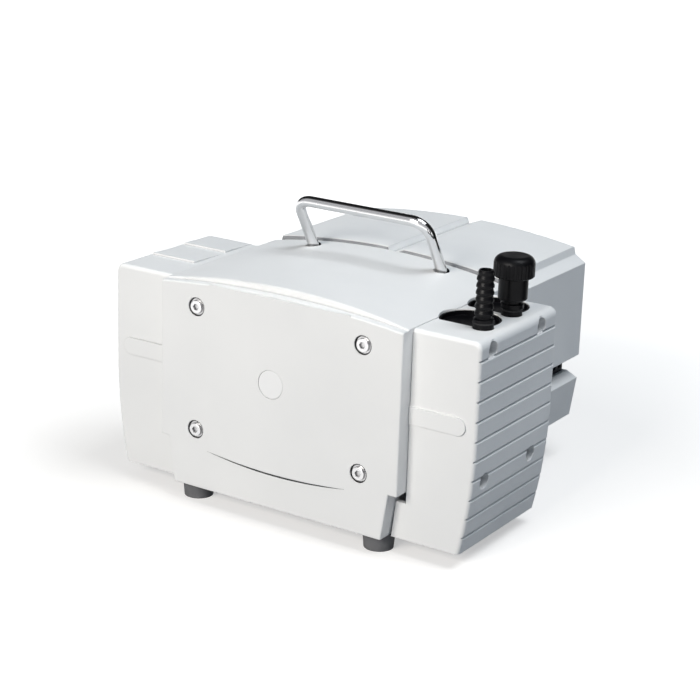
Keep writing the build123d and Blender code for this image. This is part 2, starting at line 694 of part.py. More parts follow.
# ---------------------------------------------------------------- crankcase and heads
def crankcase():
    """Cast crankcase: barrel, two head arms, feet, bosses and bow lugs."""
    y0, y1 = CASE_Y
    case = rod_y(y0, y1, 0, SHAFT_Z, BARREL_R)
    case += block(-PORT_FACE_X, PORT_FACE_X, -114, -25, SHAFT_Z - HEAD_HALF, SHAFT_Z + HEAD_HALF)
    for side in (-1, 1):
        case += block(side * 36, side * 72, y0, y0 + 18, FLOOR_Z, 72)
        case += block(side * 36, side * 66, y1 - 18, y1, FLOOR_Z, 86)
        for z in PLATE_SCREW_Z:
            case += rod_y(PLATE_Y + WALL, -98, side * PLATE_SCREW_X, z, 7.5)
        case += block(side * 47, side * 67, -40, 18, 136, 160)
    case -= rod_y(*CHAMBER_Y, 0, SHAFT_Z, CHAMBER_R)
    case -= rod_y(y1, 30, 0, SHAFT_Z, MOTOR_R + 0.5)
    case -= rod_y(y0 - 1, y0 + 2.5, 0, SHAFT_Z, SHAFT_R + 3)
    case -= rod_y(y0 + 2, CHAMBER_Y[0] + 1, 0, SHAFT_Z, BEARING_R)
    case -= rod_y(CHAMBER_Y[1] - 1, y1 + 1, 0, SHAFT_Z, BEARING_R)
    for side in (-1, 1):
        head_y = CRANK_Y + side * ROD_OFFSET
        case -= rod_x(side * 30, side * 90, head_y, SHAFT_Z, DIAPHRAGM_BORE_R)
        case -= bow_leg(side, BOW_R + 0.02, -BOW_TAIL, 20)
        for z in PLATE_SCREW_Z:
            case -= rod_y(PLATE_Y + 3, PLATE_Y + 24, side * PLATE_SCREW_X, z, 2.95)
        for y in (-HEAD_BOLT, HEAD_BOLT):
            for z in (-HEAD_BOLT, HEAD_BOLT):
                case -= rod_x(side * 68, side * 90, head_y + y, SHAFT_Z + z, 2.45)
    return case


def head_square(x0, x1, head_y):
    """Rounded square slab of a pump head."""
    outline = Plane.YZ.offset(x0) * Pos(head_y, SHAFT_Z) * RectangleRounded(
        2 * HEAD_HALF, 2 * HEAD_HALF, HEAD_CORNER_R
    )
    return extrude(outline, amount=x1 - x0)


def head_bolt_holes(x0, x1, head_y, radius):
    """The four bolt holes of a head as bars to cut or to fit."""
    bars = []
    for y in (-HEAD_BOLT, HEAD_BOLT):
        for z in (-HEAD_BOLT, HEAD_BOLT):
            bars.append(rod_x(x0, x1, head_y + y, SHAFT_Z + z, radius))
    return bars


def valve_plate(side):
    """Head plate with the pumping chamber's dish and two valve ports."""
    head_y = CRANK_Y + side * ROD_OFFSET
    x0, x1 = VALVE_PLATE_X
    plate = head_square(side * x0, side * x1, head_y)
    plate -= rod_x(side * (x0 - 1), side * (x0 + 9.5), head_y, SHAFT_Z, DIAPHRAGM_BORE_R)
    for z in (-11, 11):
        plate -= rod_x(side * (x0 + 5), side * (x1 + 1), head_y, SHAFT_Z + z, 4.5)
    for bar in head_bolt_holes(side * (x0 - 1), side * (x1 + 1), head_y, 2.8):
        plate -= bar
    return plate


def head_lid(side):
    """Finned head lid over the valves."""
    head_y = CRANK_Y + side * ROD_OFFSET
    x0, x1 = LID_X
    lid = head_square(side * x0, side * x1, head_y)
    for z in (-11, 11):
        lid -= rod_x(side * (x0 - 1), side * (x0 + 1.6), head_y, SHAFT_Z + z, 8.3)
        lid -= rod_x(side * (x0 - 1), side * (x0 + 12), head_y, SHAFT_Z + z, 6)
    for index in range(6):
        z = SHAFT_Z - 25 + index * 10
        lid -= block(side * (x1 - 9), side * (x1 + 1), head_y - 24, head_y + 24, z - 2.5, z + 2.5)
    for bar in head_bolt_holes(side * (x0 - 1), side * (x1 + 1), head_y, 2.8):
        lid -= bar
    return lid


def valve_flaps(side):
    """Two round rubber flaps between valve plate and lid."""
    head_y = CRANK_Y + side * ROD_OFFSET
    x0 = LID_X[0]
    return group([rod_x(side * x0, side * (x0 + 1.5), head_y, SHAFT_Z + z, 8) for z in (-11, 11)])


def head_screws(side):
    """Four screws that clamp a head to the crankcase."""
    head_y = CRANK_Y + side * ROD_OFFSET
    shanks = head_bolt_holes(side * 69, side * LID_X[1], head_y, 2.4)
    caps = head_bolt_holes(side * LID_X[1], side * (LID_X[1] + 5), head_y, 4.2)
    return group([shank + cap for shank, cap in zip(shanks, caps)])


def diaphragm(side):
    """Rubber diaphragm, clamped at its rim and drawn to the rod's clamp."""
    head_y = CRANK_Y + side * ROD_OFFSET
    half = DIAPHRAGM_T / 2
    lift = side * THROW
    outline = Polyline(
        (CLAMP_HOLE_R, lift - half),
        (CLAMP_R + 0.5, lift - half),
        (DIAPHRAGM_BORE_R - 1, -half),
        (DIAPHRAGM_R, -half),
        (DIAPHRAGM_R, half),
        (DIAPHRAGM_BORE_R - 1, half),
        (CLAMP_R + 0.5, lift + half),
        (CLAMP_HOLE_R, lift + half),
        close=True,
    )
    disc = revolve(Plane.XZ * make_face(outline), Axis.Z)
    mean_x = PORT_FACE_X + half
    return Pos(side * mean_x, head_y, SHAFT_Z) * Rot(0, 90 * side, 0) * disc


# ---------------------------------------------------------------- moving drive
def drive_shaft():
    """Shaft with its eccentric, front to back."""
    shaft = rod_y(-113, 125, 0, SHAFT_Z, SHAFT_R)
    eccentric = rod_y(CRANK_Y - 10.5, CRANK_Y + 10.5, THROW, SHAFT_Z, ECCENTRIC_R)
    return shaft + eccentric


def counterweights():
    """Two sector weights opposite the eccentric."""
    pieces = []
    for y0 in (CRANK_Y - 24, CRANK_Y + 13):
        disc = Circle(37) - Circle(SHAFT_R)
        disc -= Pos(30, 0) * Rectangle(48, 80)
        hub = Circle(13) - Circle(SHAFT_R)
        face = Pos(0, SHAFT_Z) * (disc + hub)
        pieces.append(along_y(face, y0, y0 + 11))
    return group(pieces)


def rod_bearing(side):
    """Roller bearing in a rod's eye."""
    y = CRANK_Y + side * ROD_OFFSET
    face = Pos(THROW, SHAFT_Z) * (Circle(ROD_BEARING_R) - Circle(ECCENTRIC_R + RUNNING))
    return along_y(face, y - ROD_WIDTH / 2, y + ROD_WIDTH / 2)


def connecting_rod(side):
    """Rod with an eye on the eccentric and a disc that carries the diaphragm."""
    y = CRANK_Y + side * ROD_OFFSET
    disc_x = side * (PORT_FACE_X + DIAPHRAGM_T / 2) + THROW - side * (DIAPHRAGM_T / 2 + 0.05 + CLAMP_T)
    face = Pos(THROW, SHAFT_Z) * Circle(ROD_EYE_R)
    shank = Polyline(
        (THROW, SHAFT_Z + 17), (disc_x, SHAFT_Z + 8), (disc_x, SHAFT_Z - 8), (THROW, SHAFT_Z - 17), close=True
    )
    rod = along_y(face + make_face(shank), y - ROD_WIDTH / 2, y + ROD_WIDTH / 2)
    rod -= rod_y(y - 10, y + 10, THROW, SHAFT_Z, ROD_BEARING_R)
    rod += rod_x(disc_x, disc_x + side * CLAMP_T, y, SHAFT_Z, CLAMP_R)
    rod += rod_x(disc_x, disc_x + side * (CLAMP_T + DIAPHRAGM_T + 0.1), y, SHAFT_Z, CLAMP_HOLE_R - 0.1)
    return rod


def diaphragm_clamp(side):
    """Disc that clamps the diaphragm to its rod."""
    y = CRANK_Y + side * ROD_OFFSET
    start = side * (PORT_FACE_X + DIAPHRAGM_T / 2) + THROW + side * (DIAPHRAGM_T / 2 + 0.05)
    clamp = rod_x(start, start + side * CLAMP_T, y, SHAFT_Z, CLAMP_R - 2)
    outer = clamp.edges().filter_by(GeomType.CIRCLE).sort_by(lambda edge: abs(edge.center().X))[-1]
    return fillet(outer, 1.5)


def bearing(y0):
    """Ball bearing of the shaft, as a closed ring."""
    face = Pos(0, SHAFT_Z) * (Circle(BEARING_R) - Circle(SHAFT_R + RUNNING))
    return along_y(face, y0, y0 + BEARING_W)


def rotor():
    """Motor rotor with its end rings."""
    body = Circle(ROTOR_R) - Circle(SHAFT_R)
    return along_y(Pos(0, SHAFT_Z) * body, *STACK_Y)


def cooling_fan():
    """Axial fan behind the motor."""
    y0, y1 = FAN_Y
    hub = along_y(Pos(0, SHAFT_Z) * (Circle(14) - Circle(SHAFT_R)), y0, y1)
    blades = 7
    for index in range(blades):
        blade = Pos(FAN_R / 2 + 5, 0, 0) * Rot(38, 0, 0) * Box(FAN_R - 12, 7.5, 1.6)
        spun = Rot(0, 0, 360 * index / blades) * blade
        hub += Pos(0, (y0 + y1) / 2, SHAFT_Z) * Rot(90, 0, 0) * spun
    return hub


# ---------------------------------------------------------------- motor
def motor_flange():
    """Ring between crankcase and motor."""
    face = Pos(0, SHAFT_Z) * (Circle(MOTOR_R) - Circle(BEARING_R - 3))
    return along_y(face, CASE_Y[1], MOTOR_Y[0])


def motor_shell():
    """Round motor housing."""
    face = Pos(0, SHAFT_Z) * (Circle(MOTOR_R) - Circle(MOTOR_BORE_R))
    return along_y(face, *MOTOR_Y)


def stator():
    """Laminated stator stack."""
    face = Pos(0, SHAFT_Z) * (Circle(MOTOR_BORE_R) - Circle(STATOR_BORE_R))
    return along_y(face, *STACK_Y)


def windings():
    """End turns on both sides of the stack."""
    face = Pos(0, SHAFT_Z) * (Circle(51) - Circle(36))
    front = along_y(face, STACK_Y[0] - 14, STACK_Y[0])
    rear = along_y(face, STACK_Y[1], STACK_Y[1] + 14)
    return group([front, rear])


def end_shield():
    """Rear end shield of the motor with the bearing seat."""
    shield = rod_y(MOTOR_Y[1], MOTOR_Y[1] + 7, 0, SHAFT_Z, MOTOR_R)
    shield += rod_y(MOTOR_Y[1] - 4, MOTOR_Y[1] + 7, 0, SHAFT_Z, BEARING_R + 5)
    shield -= rod_y(MOTOR_Y[1] - 5, MOTOR_Y[1] + 5.5, 0, SHAFT_Z, BEARING_R)
    shield -= rod_y(MOTOR_Y[1] - 5, MOTOR_Y[1] + 8, 0, SHAFT_Z, SHAFT_R + 2)
    for index in range(6):
        angle = radians(60 * index + 30)
        shield -= rod_y(100, 120, 40 * cos(angle), SHAFT_Z + 40 * sin(angle), 8)
    return shield


def motor_saddle():
    """Two uprights that carry the motor on the tray floor."""
    pieces = []
    for y0 in (24, 92):
        upright = block(-44, 44, y0, y0 + 6, FLOOR_Z, 70)
        pieces.append(upright - rod_y(y0 - 1, y0 + 7, 0, SHAFT_Z, MOTOR_R))
    return group(pieces)


def capacitor():
    """Run capacitor beside the motor."""
    can = rod_y(38, 88, -72, FLOOR_Z + 19.9, 14)
    return fillet(can.edges().filter_by(GeomType.CIRCLE), 2)


# ---------------------------------------------------------------- write the parts
write(front_cover(), "front_cover")
write(front_plug(), "front_plug")
write(plate_screws(), "front_cover_screws")
write(right_cover(), "right_head_cover")
write(left_cover(), "left_head_cover")
write(port_elbow(PORT_Y[0]), "inlet_elbow")
write(port_elbow(PORT_Y[1]), "outlet_elbow")
write(hose_nozzle(), "inlet_hose_nozzle")
write(silencer_body(), "silencer_body")
write(silencer_knob(), "silencer_knob")
write(manifold(), "port_manifold")
write(motor_hood(), "motor_hood")
write(base_tray(), "base_tray")
write(vent_band(), "vent_band")
write(carry_bow(), "carrying_bow")
write(bow_sockets(), "bow_sockets")
write(rubber_feet(), "rubber_feet")
write(foot_screws(), "foot_screws")
write(mains_inlet(), "mains_inlet")
write(switch_frame(), "switch_frame")
write(switch_rocker(), "switch_rocker")
write(crankcase(), "crankcase")
write(drive_shaft(), "drive_shaft")
write(counterweights(), "counterweights")
write(rotor(), "rotor")
write(cooling_fan(), "cooling_fan")
write(bearing(CASE_Y[0] + 2.5), "front_shaft_bearing")
write(bearing(CASE_Y[1] - BEARING_W), "middle_shaft_bearing")
write(bearing(MOTOR_Y[1] - 3.5), "rear_shaft_bearing")
write(motor_flange(), "motor_flange")
write(motor_shell(), "motor_shell")
write(stator(), "stator")
write(windings(), "stator_windings")
write(end_shield(), "motor_end_shield")
write(motor_saddle(), "motor_saddle")
write(capacitor(), "run_capacitor")
for name, side in (("left", -1), ("right", 1)):
    write(side_screws(side), f"{name}_cover_screws")
    write(valve_plate(side), f"{name}_valve_plate")
    write(head_lid(side), f"{name}_head_lid")
    write(valve_flaps(side), f"{name}_valve_flaps")
    write(head_screws(side), f"{name}_head_screws")
    write(diaphragm(side), f"{name}_diaphragm")
    write(connecting_rod(side), f"{name}_connecting_rod")
    write(rod_bearing(side), f"{name}_rod_bearing")
    write(diaphragm_clamp(side), f"{name}_diaphragm_clamp")
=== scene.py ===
import json
import math

import bmesh
import bpy
from mathutils import Matrix, Vector


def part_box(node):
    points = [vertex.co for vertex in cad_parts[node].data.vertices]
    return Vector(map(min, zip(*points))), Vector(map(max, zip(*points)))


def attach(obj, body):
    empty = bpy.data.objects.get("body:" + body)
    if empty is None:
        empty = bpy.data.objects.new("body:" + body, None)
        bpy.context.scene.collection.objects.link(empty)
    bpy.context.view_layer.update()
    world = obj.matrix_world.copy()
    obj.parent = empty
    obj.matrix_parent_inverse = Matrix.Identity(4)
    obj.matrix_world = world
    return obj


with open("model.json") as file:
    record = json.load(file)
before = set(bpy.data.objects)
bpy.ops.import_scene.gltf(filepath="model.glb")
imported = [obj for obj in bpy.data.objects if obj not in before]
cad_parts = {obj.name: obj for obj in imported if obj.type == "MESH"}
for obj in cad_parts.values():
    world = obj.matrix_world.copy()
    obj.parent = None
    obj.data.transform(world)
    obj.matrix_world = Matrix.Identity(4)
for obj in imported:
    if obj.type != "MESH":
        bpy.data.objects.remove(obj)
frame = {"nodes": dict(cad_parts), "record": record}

MM = 1000.0  # millimetres in a metre
MIX_A, MIX_B, MIX_RESULT = 6, 7, 2  # colour sockets of a Mix node
WHITE = (1, 1, 1, 1)

nodes = frame["nodes"]
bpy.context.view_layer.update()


# ---------------------------------------------------------------- node helpers
def add_node(tree, kind, values=None, **settings):
    """New node with its settings, and plain values on its input sockets."""
    made = tree.nodes.new(kind)
    for key, value in settings.items():
        setattr(made, key, value)
    for socket, value in (values or {}).items():
        made.inputs[socket].default_value = value
    return made


def scaled(colour, factor, plus=0.0):
    """Darker or lighter version of a colour."""
    return tuple(factor * channel + plus for channel in colour)


class Finish:
    """One procedural material, built node by node on a Principled shader.

    Distances are in metres, and noise scales in waves per metre.
    """

    def __init__(self, name, colour, roughness, metallic=0.0, **sockets):
        self.material = bpy.data.materials.new(name)
        self.material.use_nodes = True
        self.tree = self.material.node_tree
        self.shader = self.tree.nodes["Principled BSDF"]
        self.base = (*colour, 1.0)
        self.shader.inputs["Base Color"].default_value = self.base
        self.shader.inputs["Roughness"].default_value = roughness
        self.shader.inputs["Metallic"].default_value = metallic
        for socket, value in sockets.items():
            self.shader.inputs[socket.replace("_", " ")].default_value = value
        self.colour_out = None
        self.normal_out = None
        self.place = self.node("ShaderNodeTexCoord").outputs["Object"]

    def node(self, kind, values=None, **settings):
        """New node in this material."""
        return add_node(self.tree, kind, values, **settings)

    def link(self, out, into):
        """Joins an output socket to an input socket."""
        self.tree.links.new(out, into)

    def noise(self, scale, detail, stretch=(1, 1, 1)):
        """Noise over the piece, drawn out by its stretch."""
        place = self.node("ShaderNodeMapping", {"Scale": stretch})
        self.link(self.place, place.inputs["Vector"])
        made = self.node("ShaderNodeTexNoise", {"Scale": scale, "Detail": detail})
        self.link(place.outputs["Vector"], made.inputs["Vector"])
        return made.outputs["Fac"]

    def between(self, fac, low, high, out_low=0.0, out_high=1.0):
        """Maps a value from low..high to out_low..out_high, clamped."""
        ends = {"From Min": low, "From Max": high, "To Min": out_low, "To Max": out_high}
        made = self.node("ShaderNodeMapRange", ends)
        self.link(fac, made.inputs["Value"])
        return made.outputs["Result"]

    def times(self, fac, other):
        """Product of a value with another value, or with a number."""
        made = self.node("ShaderNodeMath", operation="MULTIPLY")
        self.link(fac, made.inputs[0])
        if isinstance(other, float):
            made.inputs[1].default_value = other
        else:
            self.link(other, made.inputs[1])
        return made.outputs["Value"]

    def tint(self, fac, colour):
        """Mixes another colour over the base where fac is 1."""
        mix = self.node("ShaderNodeMix", {MIX_A: self.base}, data_type="RGBA")
        mix.inputs[MIX_B].default_value = (*colour, 1.0)
        self.link(fac, mix.inputs["Factor"])
        if self.colour_out is not None:
            self.link(self.colour_out, mix.inputs[MIX_A])
        self.colour_out = mix.outputs[MIX_RESULT]
        self.link(self.colour_out, self.shader.inputs["Base Color"])

    def rough(self, fac, low, high):
        """Lets the roughness wander between low and high."""
        self.link(self.between(fac, 0.3, 0.7, low, high), self.shader.inputs["Roughness"])

    def soft_edges(self, radius):
        """Rounds every edge in the shading; comes before any bump."""
        made = self.node("ShaderNodeBevel", {"Radius": radius}, samples=4)
        self.normal_out = made.outputs["Normal"]
        self.link(self.normal_out, self.shader.inputs["Normal"])

    def bump(self, height, strength, distance):
        """Adds a fine relief over the one before."""
        made = self.node("ShaderNodeBump", {"Strength": strength, "Distance": distance})
        self.link(height, made.inputs["Height"])
        if self.normal_out is not None:
            self.link(self.normal_out, made.inputs["Normal"])
        self.normal_out = made.outputs["Normal"]
        self.link(self.normal_out, self.shader.inputs["Normal"])

    def edge_mask(self, radius, sharpness):
        """1 on the edges of the piece, 0 on its faces."""
        rounded = self.node("ShaderNodeBevel", {"Radius": radius}, samples=4)
        surface = self.node("ShaderNodeNewGeometry")
        dot = self.node("ShaderNodeVectorMath", operation="DOT_PRODUCT")
        self.link(rounded.outputs["Normal"], dot.inputs[0])
        self.link(surface.outputs["Normal"], dot.inputs[1])
        return self.between(dot.outputs["Value"], 1.0 - sharpness, 1.0, 1.0, 0.0)

    def creases(self, distance):
        """1 in corners and slots, 0 on open faces."""
        reach = {"Distance": distance}
        made = self.node("ShaderNodeAmbientOcclusion", reach, samples=4, only_local=True)
        return self.between(made.outputs["AO"], 0.25, 0.85, 1.0, 0.0)


# ---------------------------------------------------------------- finishes
def painted(name, colour, dust_and_shade, roughness, edge=0.0009, crease=0.75):
    """Powder-coated metal: fine orange peel, faint dust clouds, painted shade in the corners, worn
    edges.
    """
    f = Finish(name, colour, roughness,
               Specular_IOR_Level=0.3, Coat_Weight=0.06, Coat_Roughness=0.3)
    f.soft_edges(edge)
    clouds = f.between(f.noise(scale=9, detail=4), 0.35, 0.75, out_high=0.25)
    f.tint(clouds, dust_and_shade)
    # painted shade: darker in corners and slots, scaled by crease
    f.tint(f.times(f.creases(0.0022), crease), scaled(dust_and_shade, 0.45))
    patches = f.between(f.noise(scale=160, detail=5), 0.55, 0.7)
    worn = f.times(f.edge_mask(0.0006, sharpness=0.25), patches)
    f.tint(f.times(worn, 0.3), scaled(dust_and_shade, 0.7))
    f.rough(f.noise(scale=40, detail=4), roughness - 0.05, roughness + 0.08)
    f.bump(f.noise(scale=1500, detail=2), strength=0.06, distance=0.0004)
    f.bump(f.noise(scale=230, detail=2), strength=0.035, distance=0.0008)
    return f.material


def moulded(name, colour, roughness):
    """Moulded plastic with a fine spark-eroded grain, faint dusty clouds, and lighter edges: partly
    rubbed, partly a painted highlight.
    """
    f = Finish(name, colour, roughness, Specular_IOR_Level=0.12)
    f.soft_edges(0.0004)
    clouds = f.between(f.noise(scale=60, detail=4), 0.4, 0.8, out_high=0.5)
    f.tint(clouds, scaled(colour, 1.8))
    # lighter edges: partly rubbed wear, partly a painted highlight
    rubbed_and_highlit = f.times(f.edge_mask(0.0004, sharpness=0.3), 0.35)
    f.tint(rubbed_and_highlit, scaled(colour, 3.0, plus=0.006))
    f.rough(f.noise(scale=90, detail=3), roughness - 0.08, roughness + 0.12)
    f.bump(f.noise(scale=2600, detail=2), strength=0.12, distance=0.0002)
    return f.material


def rubber(name, colour):
    """Matte rubber with bloom and a soft grain."""
    f = Finish(name, colour, 0.75)
    f.soft_edges(0.0006)
    bloom = f.between(f.noise(scale=45, detail=5), 0.45, 0.75, out_high=0.6)
    f.tint(bloom, scaled(colour, 1.9, plus=0.01))
    f.rough(f.noise(scale=70, detail=3), 0.65, 0.9)
    f.bump(f.noise(scale=1200, detail=3), strength=0.2, distance=0.0003)
    return f.material


def metal(name, colour, roughness, brushing, scale, relief):
    """Bare metal with marks drawn out along one way, and painted shade in its corners and sockets.
    """
    f = Finish(name, colour, roughness, metallic=1.0)
    f.soft_edges(0.0003)
    marks = f.noise(scale, detail=4, stretch=brushing)
    f.tint(f.between(marks, 0.35, 0.7, out_high=0.3), scaled(colour, 0.72))
    # painted shade: corners and screw sockets darkened nearly to black
    f.tint(f.times(f.creases(0.003), 0.9), scaled(colour, 0.12))
    f.rough(marks, roughness * 0.75, roughness * 1.35)
    f.bump(marks, strength=relief, distance=0.0002)
    return f.material


def chrome_plate():
    """Polished chrome with a few hairlines and finger marks."""
    f = Finish("chrome_plate", (0.74, 0.74, 0.745), 0.05, metallic=1.0)
    f.soft_edges(0.0012)
    f.rough(f.noise(scale=55, detail=5), 0.03, 0.12)
    smears = f.between(f.noise(scale=30, detail=3), 0.5, 0.8, out_high=0.15)
    f.tint(smears, (0.60, 0.61, 0.63))
    hairlines = f.noise(scale=420, detail=2, stretch=(1, 6, 6))
    f.bump(hairlines, strength=0.02, distance=0.0002)
    return f.material


def cast_alloy():
    """Sand-blasted casting with a coarse skin."""
    f = Finish("cast_alloy", (0.62, 0.63, 0.64), 0.5, metallic=0.85)
    f.soft_edges(0.0008)
    stains = f.between(f.noise(scale=25, detail=5), 0.4, 0.75, out_high=0.5)
    f.tint(stains, (0.45, 0.46, 0.47))
    f.rough(f.noise(scale=80, detail=4), 0.42, 0.62)
    f.bump(f.noise(scale=900, detail=3), strength=0.25, distance=0.0004)
    return f.material


def winding():
    """Lacquered copper wire laid in turns, with painted shade in the gaps between turns."""
    f = Finish("winding", (0.55, 0.24, 0.10), 0.35, metallic=0.6, Coat_Weight=0.5)
    rings = {"wave_type": "RINGS", "rings_direction": "Y"}
    wires = f.node("ShaderNodeTexWave", {"Scale": 500}, **rings)
    f.link(f.place, wires.inputs["Vector"])
    # painted shade: darker copper in the gaps between turns
    shaded_gaps = f.between(wires.outputs["Fac"], 0.0, 0.5, out_low=0.6, out_high=0.0)
    f.tint(shaded_gaps, (0.16, 0.05, 0.02))
    f.rough(f.noise(scale=120, detail=3), 0.25, 0.45)
    f.bump(wires.outputs["Fac"], strength=0.4, distance=0.0005)
    return f.material


COAT = (0.83, 0.83, 0.825)
COVER_DUST_AND_SHADE = (0.60, 0.61, 0.62)
BRIGHT = (0.72, 0.72, 0.73)
EVEN = (1, 1, 1)

finishes = {
    "white_paint": painted("white_coat", COAT, (0.62, 0.63, 0.64), 0.42),
    "white_plastic": painted("white_cap", (0.86, 0.86, 0.86), (0.70, 0.71, 0.72), 0.3),
    "side_paint": painted("cover_coat", COAT, COVER_DUST_AND_SHADE, 0.42, edge=0.0003),
    "black_plastic": moulded("black_moulding", (0.003, 0.003, 0.0038), 0.34),
    "dark_rubber": rubber("foot_rubber", (0.11, 0.11, 0.115)),
    "diaphragm_rubber": rubber("diaphragm_rubber", (0.03, 0.03, 0.03)),
    "chrome": chrome_plate(),
    "screw_steel": metal("plated_screw", BRIGHT, 0.3, EVEN, scale=500, relief=0.05),
    "cast_aluminium": cast_alloy(),
    "turned_steel": metal("turned_steel", (0.50, 0.50, 0.51), 0.3, (1, 12, 1),
                          scale=260, relief=0.1),
    "lamination_steel": metal("laminations", (0.30, 0.30, 0.31), 0.45, (1, 40, 1),
                              scale=60, relief=0.3),
    "copper_winding": winding(),
    "can_aluminium": metal("drawn_can", BRIGHT, 0.3, (1, 8, 1), scale=200, relief=0.08),
}
for entry in frame["record"]["subparts"]:
    nodes[entry["node"]].data.materials[0] = finishes[entry["material_slot"]]
ribbed_coat = painted("ribbed_coat", COAT, COVER_DUST_AND_SHADE, 0.42, edge=0.0005, crease=0.1)
nodes["right_head_cover"].data.materials[0] = ribbed_coat
vent_moulding = moulded("vent_moulding", (0.045, 0.047, 0.052), 0.5)
nodes["vent_band"].data.materials[0] = vent_moulding


# ---------------------------------------------------------------- small pieces, in millimetres
def box_mm(name):
    """Lowest and highest corner of a CAD node."""
    return [[MM * value for value in corner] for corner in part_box(name)]


def middle(low, high):
    """Point halfway between two corners."""
    return [(a + b) / 2 for a, b in zip(low, high)]


def around(count):
    """Evenly spaced angles of a full turn."""
    return [2 * math.pi * step / count for step in range(count)]


def piece(name, body, finish, points, faces):
    """Mesh piece that rides on a body."""
    mesh = bpy.data.meshes.new(name)
    mesh.from_pydata([tuple(value / MM for value in point) for point in points], [], faces)
    mesh.validate()
    work = bmesh.new()
    work.from_mesh(mesh)
    bmesh.ops.recalc_face_normals(work, faces=work.faces)
    work.to_mesh(mesh)
    work.free()
    mesh.materials.append(finish)
    made = bpy.data.objects.new(name, mesh)
    bpy.context.scene.collection.objects.link(made)
    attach(made, body)


def lofted(name, body, finish, sections, closed=False):
    """Skin through sections of equal point count, capped unless it closes on itself."""
    count = len(sections[0])
    points = [point for section in sections for point in section]
    faces = []
    for index in range(len(sections) if closed else len(sections) - 1):
        here = index * count
        there = (index + 1) % len(sections) * count
        for k in range(count):
            n = (k + 1) % count
            faces.append((here + k, here + n, there + n, there + k))
    if not closed:
        faces.append(tuple(range(count)))
        faces.append(tuple(range(len(points) - count, len(points))))
    piece(name, body, finish, points, faces)


def torus_ring(name, finish, centre, radius, thick, upright=False):
    """Round-section ring, lying flat or facing the front."""
    sections = []
    for turn in around(56):
        section = []
        for tip in around(12):
            reach = radius + thick * math.cos(tip)
            across, rise = reach * math.sin(turn), thick * math.sin(tip)
            if upright:
                across, rise = rise, across
            right = reach * math.cos(turn)
            section.append((centre[0] + right, centre[1] + across, centre[2] + rise))
        sections.append(section)
    lofted(name, "housing", finish, sections, closed=True)


def hood_joint_shade():
    """Grey strip in the open joint between front cover and motor hood: painted shade that darkens
    the hood's lit front edge.
    """
    low, high = box_mm("motor_hood")
    half, crown = high[0], high[2]
    front, back = box_mm("front_cover")[1][1], low[1]
    foot_z, under_skin = 92.0, 0.4
    arch_half, arch_rise = half - 10.5, 7.8
    radius = (arch_half ** 2 + arch_rise ** 2) / (2 * arch_rise)

    def arch(first, last):
        """Run of points along the hood's crown."""
        top = crown - under_skin - radius
        return [(x, top + math.sqrt(radius ** 2 - x * x)) for x in range(first, last, 6)]

    def leg(side):
        """Points up one side of the hood, from the foot to the crown."""
        return [(side * (half - 1), foot_z), (side * (half - 1), crown - 19.7),
                (side * (arch_half + 1), crown - 13.8), (side * (arch_half - 0.6), crown - 8.2)]

    crease = [(-0.2, crown - 0.5), (1.6, crown - 5.7), (14.0, crown - 0.7)]
    outline = leg(-1) + arch(-90, 0) + crease + arch(18, 96) + leg(1)[::-1]

    gap, lip, lip_depth, depth = 0.05, 0.4, 0.3, 2.6
    profile = ((front + gap, depth), (front + gap, lip_depth), (front + lip, 0.0),
               (back - lip, 0.0), (back - gap, lip_depth), (back - gap, depth))
    sections = []
    for index, (x, z) in enumerate(outline):
        before = outline[max(index - 1, 0)]
        after = outline[min(index + 1, len(outline) - 1)]
        along = Vector((after[0] - before[0], after[1] - before[1])).normalized()
        inward = Vector((along[1], -along[0]))
        sections.append([(x + inward[0] * sunk, y, z + inward[1] * sunk) for y, sunk in profile])
    # painted shade: grey strip covering the hood's lit front face in the joint
    joint_shade = rubber("joint_shade_grey", (0.22, 0.225, 0.235))
    lofted("hood_joint_shade", "housing", joint_shade, sections)


def port_rings():
    """Sealing rings under the hose nozzle and the silencer."""
    black = rubber("port_ring_rubber", (0.008, 0.008, 0.009))
    for name in ("inlet_hose_nozzle", "silencer_body"):
        low, high = box_mm(name)
        x, y, _ = middle(low, high)
        torus_ring(name + "_seal", black, (x, y, low[2]), radius=7.25, thick=0.55)


def screw_shade_rings():
    """Black rings round the four screws of the front cover: painted shade for the shadow gap round
    each head.
    """
    low, high = box_mm("front_cover_screws")
    black = rubber("screw_shade_rubber", (0.012, 0.012, 0.013))
    head_radius, sunk = 6.2, 1.6
    y = low[1] + sunk
    for row, z in (("low", low[2] + head_radius), ("high", high[2] - head_radius)):
        for side, x in (("left", low[0] + head_radius), ("right", high[0] - head_radius)):
            # painted shade: black ring where the shadow gap round the head falls
            name = "plate_shade_ring_%s_%s" % (row, side)
            torus_ring(name, black, (x, y, z), radius=6.55, thick=0.42, upright=True)


def panel_edge_shadow():
    """Dark strip under the raised front panel, widest in the middle: painted shadow of the panel's
    lower edge.
    """
    panel_proud, proud, sunk = 1.5, 0.05, 0.15
    plate = box_mm("front_cover")[0][1] + panel_proud
    half_steps, pitch = 20, 3.0
    half, fade_half = 60, 60.5
    widest, thinnest, overlap = 1.9, 0.02, 0.05
    middle_z, end_rise = 40.1, 3.2
    sections = []
    for step in range(-half_steps, half_steps + 1):
        x = pitch * step
        top = middle_z + end_rise * (x / half) ** 2
        low = top - widest * (1 - (x / fade_half) ** 2) - thinnest
        high = top + overlap
        front, back = plate - proud, plate + sunk
        sections.append([(x, front, low), (x, front, high), (x, back, high), (x, back, low)])
    # painted shadow under the raised panel's lower edge
    shade = moulded("panel_shadow_grey", (0.05, 0.05, 0.052), 0.6)
    lofted("panel_edge_shadow", "housing", shade, sections)


